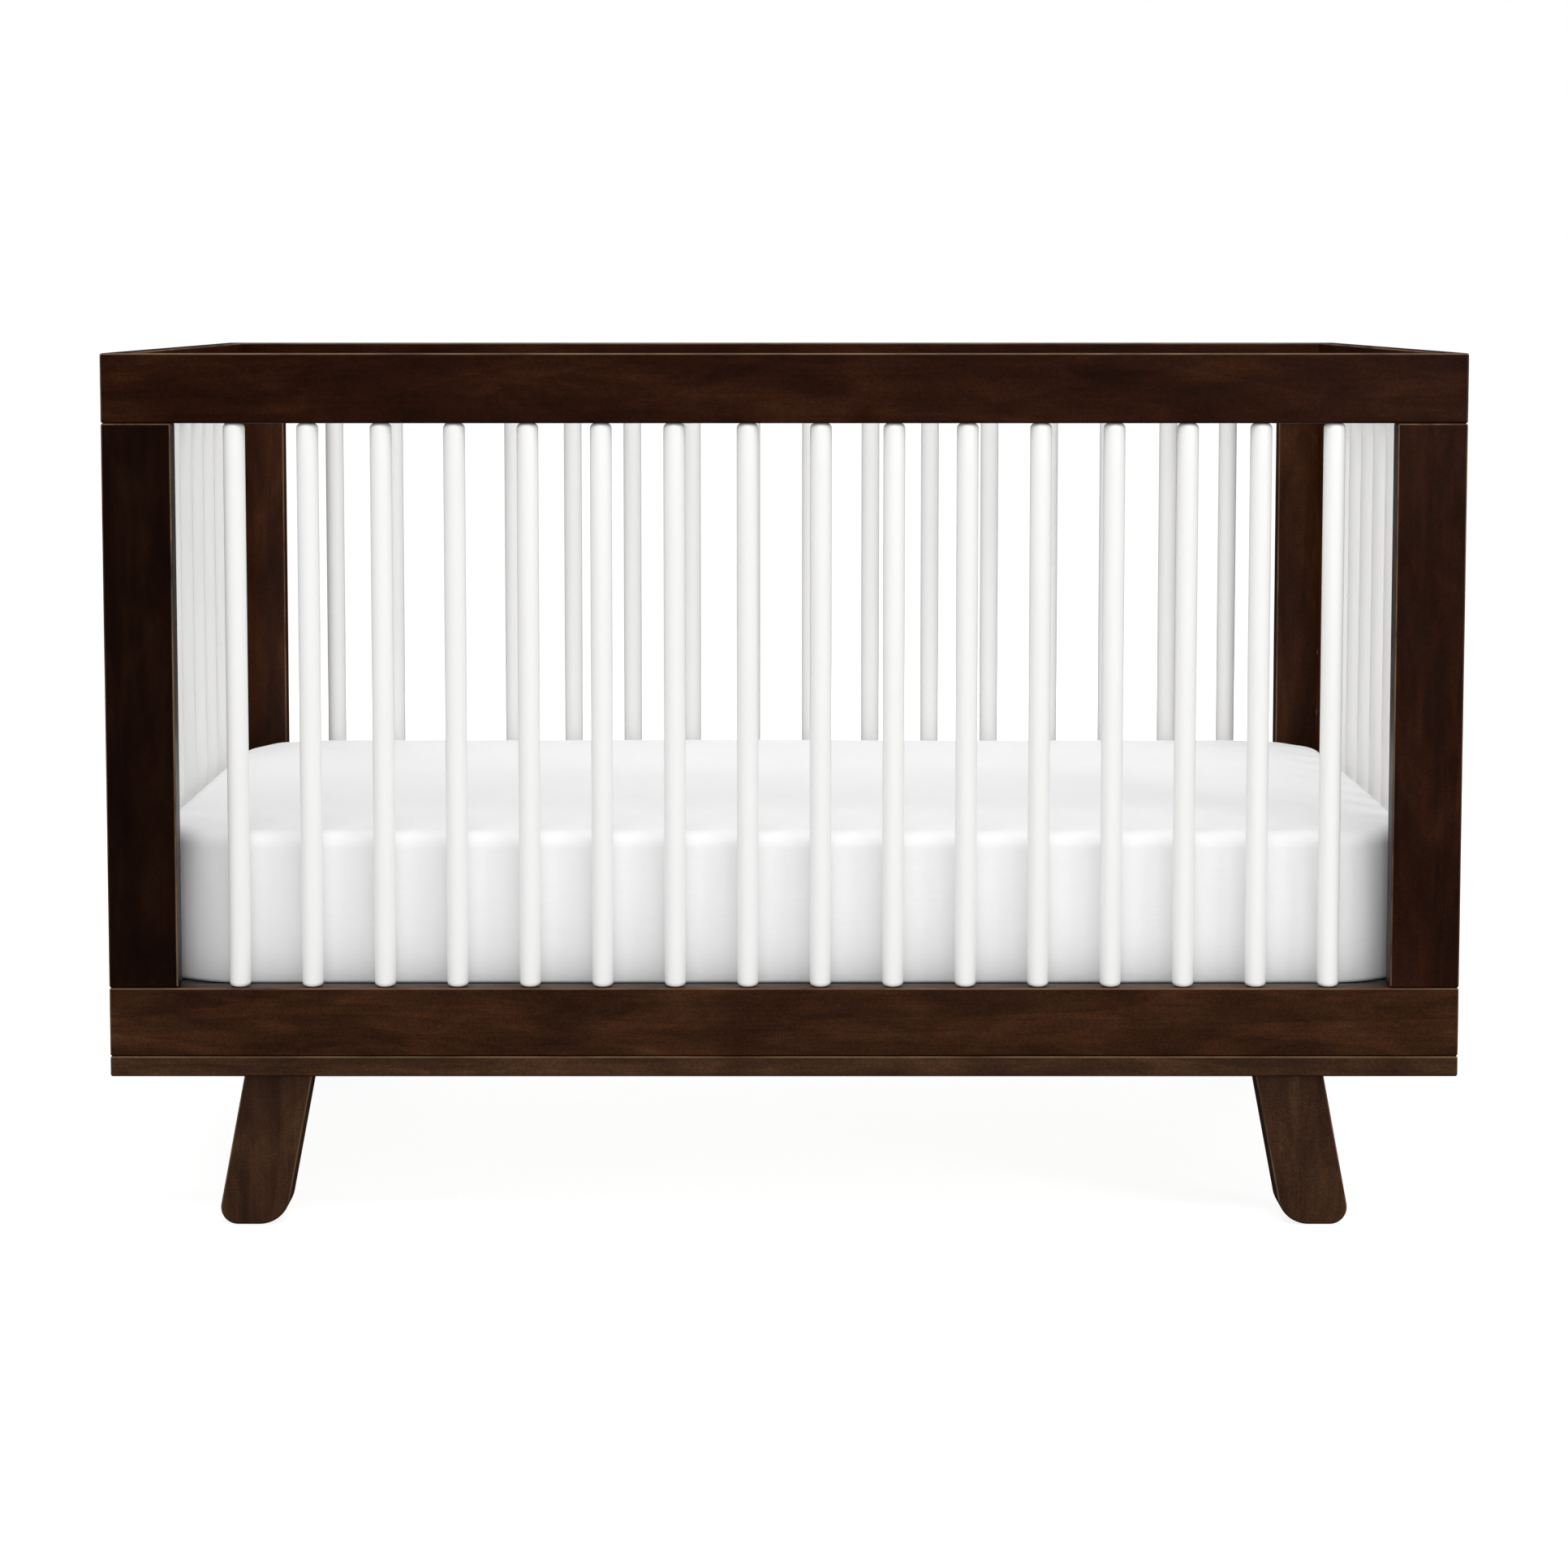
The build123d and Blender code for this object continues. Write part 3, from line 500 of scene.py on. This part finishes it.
def spring_line(hole, grid, hole_top):
    """A close coil between two hooks: one up through a bar's hole, one round the grid's outer wire."""
    way = grid - hole
    long = way.length
    way.normalize()
    up = Vector((0, 0, 1))
    side = way.cross(up)
    points = [hole + up * (hole_top - hole.z)]
    for i in range(BAR_HOOK_STEPS + 1):
        turn = i / BAR_HOOK_STEPS * pi / 2
        points.append(hole + way * (HOOK_R * (1 - cos(turn))) + up * (HOOK_R * (1 - sin(turn))))
    body = long - 2 * END_ROOM
    turns = int(body / COIL_PITCH)
    count = turns * COIL_TURN_POINTS
    for i in range(count + 1):
        turn = 2 * pi * i / COIL_TURN_POINTS
        gone = END_ROOM + body * i / count
        points.append(hole + way * gone + (up * cos(turn) + side * sin(turn)) * COIL_R)
    for i in range(GRID_HOOK_STEPS + 1):
        turn = i / GRID_HOOK_STEPS * GRID_HOOK_TURN
        reach = GRID_HOOK_R * (1 - cos(turn)) - HOOK_R
        points.append(grid + way * reach - up * (GRID_HOOK_R * sin(turn)))
    return points


def tension_springs(material):
    """The springs that stretch the wire grid between the four bars."""
    grid_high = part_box("spring_grid")[1]
    verts = []
    faces = []
    for low, high in islands("support_springs"):
        middle = (low + high) / 2
        axis = 0 if high.x - low.x > high.y - low.y else 1
        sign = 1 if middle[axis] > 0 else -1
        hole = Vector((middle.x, middle.y, low.z + COIL_R))
        grid = hole.copy()
        hole[axis] = sign * (max(abs(low[axis]), abs(high[axis])) - BAR_HOOK_IN)
        grid[axis] = sign * (grid_high[axis] - GRID_HOOK_IN)
        tube_along(spring_line(hole, grid, high.z), COIL_WIRE, COIL_WIRE_ROUND, verts, faces)
    obj = mesh_object("tension_springs", verts, faces, material)
    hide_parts("support_springs")
    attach(obj, SUPPORT)


# ------------------------------------------------------------------ mattress and its sheet
PAD_CORNER = 0.100  # rounding of the mattress's corners, seen from above
PAD_EDGE = 0.016  # rounding of its top edge
PAD_FOOT = 0.004  # rounding of its bottom edge, drawn in tight over the support
CROWN = 0.005  # how much higher the middle of the top is than its rim
GIRTH = 0.0015  # how far the middle of each side bulges
GRID_STEP = 0.009
BEND_STEP = 0.9 * GRID_STEP  # where the form is rounded in plan
EDGE_STEPS = 6  # round its top edge
FOOT_STEPS = 4  # and its bottom edge
SHEET_GAP = 0.002  # from the ticking to the outside of the sheet
SHEET_CLOTH = 0.0008
HEM_IN = 0.075  # how far the sheet turns in under the mattress
HEM_R = 0.0009


def grid_lines(half, corner, edge):
    """Places of the grid's lines along one axis, closer together where the form is rounded."""
    middle = half - corner
    plain = max(int(round(2 * middle / GRID_STEP)), 2)
    bend = max(int(round((corner - edge) / BEND_STEP)), 2)
    lines = [middle + (corner - edge) * i / bend for i in range(1, bend + 1)]
    lines += [half - edge + edge * i / EDGE_STEPS for i in range(1, EDGE_STEPS + 1)]
    inside = [-middle + 2 * middle * i / plain for i in range(plain + 1)]
    return [-v for v in reversed(lines)] + inside + lines


def height_lines(tall, edge, foot):
    """Heights of the grid's lines, closer together round the bottom and the top edge."""
    plain = int(round((tall - edge - foot) / GRID_STEP))
    below = [foot * i / FOOT_STEPS for i in range(FOOT_STEPS + 1)]
    inside = [foot + (tall - edge - foot) * i / plain for i in range(1, plain)]
    above = [tall - edge * i / EDGE_STEPS for i in range(EDGE_STEPS, -1, -1)]
    return below + inside + above


def crown_at(x, y, half_x, half_y):
    """Height of the crown over a point of the pad's plan: full in the middle, nothing at the rim."""
    u = min(abs(x) / half_x, 1.0)
    v = min(abs(y) / half_y, 1.0)
    return CROWN * (1 - u ** 5) * (1 - v ** 2.6)


def round_pad(x, y, z, half_x, half_y, tall, corner, top_edge, foot):
    """Moves a point of a sharp box's surface onto the padded form; also gives its way outwards."""
    edge = top_edge if z > tall / 2 else foot
    cx = min(max(x, corner - half_x), half_x - corner)
    cy = min(max(y, corner - half_y), half_y - corner)
    dx, dy = x - cx, y - cy
    reach = (dx * dx + dy * dy) ** 0.5
    if reach > 1e-9:
        out_x, out_y = dx / reach, dy / reach
        far = max(abs(dx), abs(dy))
    else:
        out_x, out_y, far = 0.0, 0.0, 0.0
    inset = corner - far
    side = max(edge - inset, 0.0)
    up = z - (tall - edge) if z > tall / 2 else edge - z
    up = max(up, 0.0)
    if side > 0 and up > 0:
        share = max(side, up) / (side * side + up * up) ** 0.5
        far += side * share - side
        lift = up * share - up
        z += lift if z > tall / 2 else -lift
    swell = GIRTH * sin(pi * min(max(z / tall, 0.0), 1.0)) * (far / corner) ** 3
    far += swell
    x, y = cx + out_x * far, cy + out_y * far
    z += crown_at(x, y, half_x, half_y) * max(z / tall - 0.5, 0.0) * 2
    return Vector((x, y, z)), Vector((out_x, out_y, 0.0))


def padded_form(low, high, inset, corner, edge, foot, keep):
    """A padded block in a box, shrunk by an inset; keep says which faces stay, by their middle."""
    centre = (low + high) / 2
    half_x = (high.x - low.x) / 2 - inset - GIRTH
    half_y = (high.y - low.y) / 2 - inset - GIRTH
    tall = high.z - low.z - 2 * inset - CROWN / 2
    base = low.z + inset
    lines = (grid_lines(half_x, corner, edge), grid_lines(half_y, corner, edge),
             height_lines(tall, edge, foot))
    last = [len(line) - 1 for line in lines]
    index = {}
    verts = []
    outs = []

    def vert(key):
        if key not in index:
            point = [lines[axis][key[axis]] for axis in range(3)]
            place, out = round_pad(*point, half_x, half_y, tall, corner, edge, foot)
            index[key] = len(verts)
            verts.append(place + Vector((centre.x, centre.y, base)))
            outs.append(out)
        return index[key]

    faces = []
    for axis in range(3):
        a, b = (axis + 1) % 3, (axis + 2) % 3
        for end in (0, last[axis]):
            for i in range(last[a]):
                for j in range(last[b]):
                    ring = [(i, j), (i + 1, j), (i + 1, j + 1), (i, j + 1)]
                    if end == 0:
                        ring.reverse()
                    keys = []
                    for p, q in ring:
                        key = [0, 0, 0]
                        key[axis], key[a], key[b] = end, p, q
                        keys.append(tuple(key))
                    if axis == 2 and end == 0:
                        mid = [sum(lines[n][k[n]] for k in keys) / 4 for n in (0, 1)]
                        if not keep(half_x - abs(mid[0]), half_y - abs(mid[1])):
                            continue
                    faces.append([vert(key) for key in keys])
    return verts, faces, outs


SLOW_PULL = 0.0010  # how far the cloth wanders over the whole form
SIDE_FOLD = 0.0007  # its upright folds, in the middle of the sides
CORNER_PULL = 0.0016  # its pulls at the corners
CORNER_REACH = 0.16  # how far from a corner they are felt
TOP_FROM = 0.9  # share of the height above which the top's own waves start
TOP_WAVE = 0.0009
TOP_PULL = 0.0011


def soft_folds(place, out, low, high):
    """How far the sheet's surface leaves the smooth form at a place: shallow pulls and folds."""
    tall = high.z - low.z
    up = (place.z - low.z) / tall
    slow = noise.noise(Vector((place.x * 3.1, place.y * 4.3, place.z * 4.0 + 7.0)))
    fold = noise.noise(Vector((place.x * 17.0 + 3.0, place.y * 17.0, place.z * 3.0)))
    corner_x = abs(place.x) - (high.x - PAD_CORNER)
    corner_y = abs(place.y) - (high.y - PAD_CORNER)
    near = max(0.0, 1.0 - (min(corner_x, 0) ** 2 + min(corner_y, 0) ** 2) ** 0.5 / CORNER_REACH)
    pull = noise.noise(Vector((place.x * 26.0, place.y * 26.0, place.z * 7.0 - 5.0)))
    side = max(0.0, 1.0 - abs(up - 0.5) * 2.0)
    moved = out * (SLOW_PULL * slow + SIDE_FOLD * fold * side + CORNER_PULL * pull * near)
    if up > TOP_FROM:
        moved.z += TOP_WAVE * slow + TOP_PULL * pull * near
    return moved


PLAN_STEPS = 8  # round each corner of the plan
PLAN_CORNER_LEAST = 0.02


def outline(inset, low, high, count):
    """Points round the pad's plan, a distance inside its sides, starting on the right."""
    half_x, half_y = (high.x - low.x) / 2 - inset, (high.y - low.y) / 2 - inset
    corner = max(PAD_CORNER - inset, PLAN_CORNER_LEAST)
    centres = [(sx * (half_x - corner), sy * (half_y - corner)) for sx, sy in
               ((1, 1), (-1, 1), (-1, -1), (1, -1))]
    points = []
    for number, (cx, cy) in enumerate(centres):
        for i in range(PLAN_STEPS + 1):
            turn = (number + i / PLAN_STEPS) * pi / 2
            points.append(Vector((cx + corner * cos(turn), cy + corner * sin(turn), 0.0)))
    closed = points + [points[0]]
    lengths = [(b - a).length for a, b in zip(closed, closed[1:])]
    whole = sum(lengths)
    even = []
    edge_number, gone = 0, 0.0
    for i in range(count):
        want = whole * i / count
        while gone + lengths[edge_number] < want:
            gone += lengths[edge_number]
            edge_number += 1
        share = (want - gone) / lengths[edge_number]
        even.append(closed[edge_number].lerp(closed[edge_number + 1], share))
    return even


def mattress_and_sheet():
    """The padded mattress, and the fitted sheet stretched over it and turned in underneath."""
    low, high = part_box("fitted_sheet")
    verts, faces, _ = padded_form(low, high, SHEET_GAP, PAD_CORNER - SHEET_GAP,
                                  PAD_EDGE - SHEET_GAP, PAD_FOOT - SHEET_GAP, lambda x, y: True)
    core = mesh_object("mattress", verts, faces, MATERIALS["mattress_ticking"])
    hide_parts("mattress_core")
    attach(core, MATTRESS)

    verts, faces, outs = padded_form(low, high, 0.0, PAD_CORNER, PAD_EDGE, PAD_FOOT,
                                     lambda x, y: min(x, y) < HEM_IN)
    folded = [v + soft_folds(v, out, low, high) for v, out in zip(verts, outs)]
    sheet = mesh_object("fitted_sheet_cotton", folded, faces, MATERIALS["white_sheet"])
    cloth = sheet.modifiers.new("cloth thickness", "SOLIDIFY")
    cloth.thickness = SHEET_CLOTH
    cloth.offset = -1.0
    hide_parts("fitted_sheet")
    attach(sheet, MATTRESS)

    hem = sheet_hem(low, high)


HEM_COUNT = 720
HEM_GATHER = 0.0035  # how far the elastic draws the hem in and out
HEM_GATHERS = 96
HEM_PAST = 0.004  # how far inside the sheet's last row it runs
HEM_LIFT = 0.0002
HEM_ROUND = 8


def sheet_hem(low, high):
    """The elastic casing round the sheet's mouth, gathered into small folds."""
    points = []
    for i, place in enumerate(outline(HEM_IN + HEM_PAST, low, high, HEM_COUNT)):
        wave = sin(2 * pi * HEM_GATHERS * i / HEM_COUNT)
        inwards = Vector((-place.x / high.x, -place.y / high.y, 0.0)).normalized()
        points.append(place + inwards * HEM_GATHER * wave + Vector((0, 0, low.z + HEM_R + HEM_LIFT)))
    verts = []
    faces = []
    tube_along(points + [points[0]], HEM_R, HEM_ROUND, verts, faces)
    obj = mesh_object("sheet_elastic_hem", verts, faces, MATERIALS["white_sheet"])
    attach(obj, MATTRESS)
    return obj


# ------------------------------------------------------------------ studio
FLOOR_GLOW = 0.83  # keeps the floor white in the camera's eye
FLOOR_BOUNCE = 0.3  # what it gives the crib
FLOOR_HALF = 30.0


def floor():
    """A wide pale floor."""
    made = Nodes("studio_floor")
    tone = made.noise(made.coords((0.6, 0.6, 0.6)), 1.0, 2.0, 0.5)
    colour = made.ramp(tone, [(0.2, (0.46, 0.46, 0.46)), (0.8, (0.48, 0.48, 0.48))])
    made.link(colour, made.shader.inputs["Base Color"])
    made.set(Roughness=0.9, Specular_IOR_Level=0.0, Emission_Color=(1.0, 1.0, 1.0, 1.0))
    path = made.add("ShaderNodeLightPath")
    glow = made.add("ShaderNodeMapRange", To_Min=FLOOR_BOUNCE, To_Max=FLOOR_GLOW)
    made.link(path.outputs["Is Camera Ray"], glow.inputs["Value"])
    made.link(glow.outputs["Result"], made.shader.inputs["Emission Strength"])
    made.material.cycles.emission_sampling = "NONE"
    corners = [(FLOOR_HALF * x, FLOOR_HALF * y, 0) for x, y in ((-1, -1), (1, -1), (1, 1), (-1, 1))]
    obj = mesh_object("studio_floor", corners, [(0, 1, 2, 3)], made.material, smooth=False)
    obj.visible_glossy = False


WORLD_SOFT = 0.45  # the studio's even light
GLOSS_LOW = 0.02  # what lacquer reflects from the sides and below, and from straight above
GLOSS_HIGH = 1.1
GLOSS_FADE = (0.3, 0.95)  # between how steeply upwards the one and the other begin


def studio_world():
    """A white studio; its even light is kept out of the level reflections, as with dark flags."""
    world = bpy.data.worlds.new("studio")
    bpy.context.scene.world = world
    world.use_nodes = True
    world.cycles.sampling_method = "NONE"
    tree = world.node_tree
    background = tree.nodes["Background"]
    background.inputs["Color"].default_value = (1, 1, 1, 1)
    source = tree.nodes.new("ShaderNodeTexCoord")
    split = tree.nodes.new("ShaderNodeSeparateXYZ")
    tree.links.new(source.outputs["Generated"], split.inputs["Vector"])
    fade = tree.nodes.new("ShaderNodeMapRange")
    fade.interpolation_type = "SMOOTHSTEP"
    for name, value in (("From Min", GLOSS_FADE[0]), ("From Max", GLOSS_FADE[1]),
                        ("To Min", GLOSS_LOW), ("To Max", GLOSS_HIGH)):
        fade.inputs[name].default_value = value
    tree.links.new(split.outputs["Z"], fade.inputs["Value"])
    path = tree.nodes.new("ShaderNodeLightPath")
    glossy = tree.nodes.new("ShaderNodeMix")
    glossy.inputs[2].default_value = WORLD_SOFT
    tree.links.new(path.outputs["Is Glossy Ray"], glossy.inputs[0])
    tree.links.new(fade.outputs["Result"], glossy.inputs[3])
    seen = tree.nodes.new("ShaderNodeMix")
    seen.inputs[3].default_value = 1.0
    tree.links.new(path.outputs["Is Camera Ray"], seen.inputs[0])
    tree.links.new(glossy.outputs[0], seen.inputs[2])
    tree.links.new(seen.outputs[0], background.inputs["Strength"])


def soft_box(name, place, target, size, power, glossy=True):
    """A rectangular light that faces a target; glossy says whether the lacquer mirrors it."""
    light = bpy.data.lights.new(name, "AREA")
    light.shape = "RECTANGLE"
    light.size, light.size_y = size
    light.energy = power
    obj = bpy.data.objects.new(name, light)
    bpy.context.scene.collection.objects.link(obj)
    obj.location = place
    obj.visible_glossy = glossy
    obj.rotation_euler = (Vector(target) - Vector(place)).to_track_quat("-Z", "Y").to_euler()


def studio_lights():
    """A key and a faint sheen from the right, and soft fills that the lacquer doesn't mirror."""
    middle = (CAD_LOW + CAD_HIGH) / 2
    soft_box("key", (3.0, -2.6, 1.5), middle, (0.9, 1.2), 25.0)
    soft_box("sheen", (1.75, -3.3, 1.3), middle, (0.7, 1.0), 4.0)
    soft_box("front_fill", (0.0, -4.2, 0.5), middle, (3.6, 1.0), 20.0, glossy=False)
    soft_box("lens_fill", (0.0, -3.7, 1.0), middle, (1.2, 0.9), 9.0, glossy=False)
    soft_box("left_fill", (-3.5, -1.6, 0.8), middle, (2.0, 1.6), 16.0, glossy=False)
    soft_box("back_fill", (0.0, 4.2, 1.6), middle, (3.6, 2.2), 42.0, glossy=False)
    soft_box("overhead", (0.2, -0.2, 3.2), middle, (2.4, 1.4), 33.0, glossy=False)
    soft_box("high_front", (0.2, -1.7, 3.0), middle, (2.4, 1.0), 33.0, glossy=False)


CAMERA_X = -0.0166  # a little left of the middle
CAMERA_BACK = 3.1425  # from the front panel's face
CAMERA_OVER = 0.0538  # above the top rails
CAMERA_DOWN = 4.25  # degrees
LENS = 72.35  # millimetres, on the sensor below
SENSOR = 36.0
SHIFT = (0.0104, -0.16)


def camera():
    """In front of the crib, looking slightly down."""
    data = bpy.data.cameras.new("camera")
    data.sensor_width = SENSOR
    data.lens = LENS
    data.shift_x, data.shift_y = SHIFT
    obj = bpy.data.objects.new("camera", data)
    bpy.context.scene.collection.objects.link(obj)
    obj.location = (CAMERA_X, CAD_LOW.y - CAMERA_BACK, CAD_HIGH.z + CAMERA_OVER)
    obj.rotation_euler = (radians(90.0 - CAMERA_DOWN), 0.0, 0.0)
    bpy.context.scene.camera = obj


# ------------------------------------------------------------------ the whole
MATERIALS.update({
    "white_wood": white_lacquer(),
    "beech": bare_beech(),
    "black_steel": powder_coat(),
    "spring_steel": bright_steel("drawn_spring_wire", (0.3, 0.3, 0.31), (0.5, 0.5, 0.5), 0.25, 0.42,
                                 (90.0, 90.0, 90.0)),
    "zinc_steel": bright_steel("zinc_plate", (0.5, 0.51, 0.52), (0.72, 0.71, 0.66), 0.22, 0.4,
                               (300.0, 300.0, 300.0)),
    "glide_plastic": glide_plastic(),
    "mattress_ticking": cotton("mattress_ticking", (0.66, 0.65, 0.6), (0.74, 0.73, 0.69)),
    "white_sheet": cotton("white_percale", (0.83, 0.83, 0.84), (0.87, 0.87, 0.88)),
})
dress_cad_nodes()
all_slats()
tension_springs(MATERIALS["spring_steel"])
mattress_and_sheet()
floor()
studio_world()
studio_lights()
camera()
bpy.context.scene.view_settings.view_transform = "Standard"
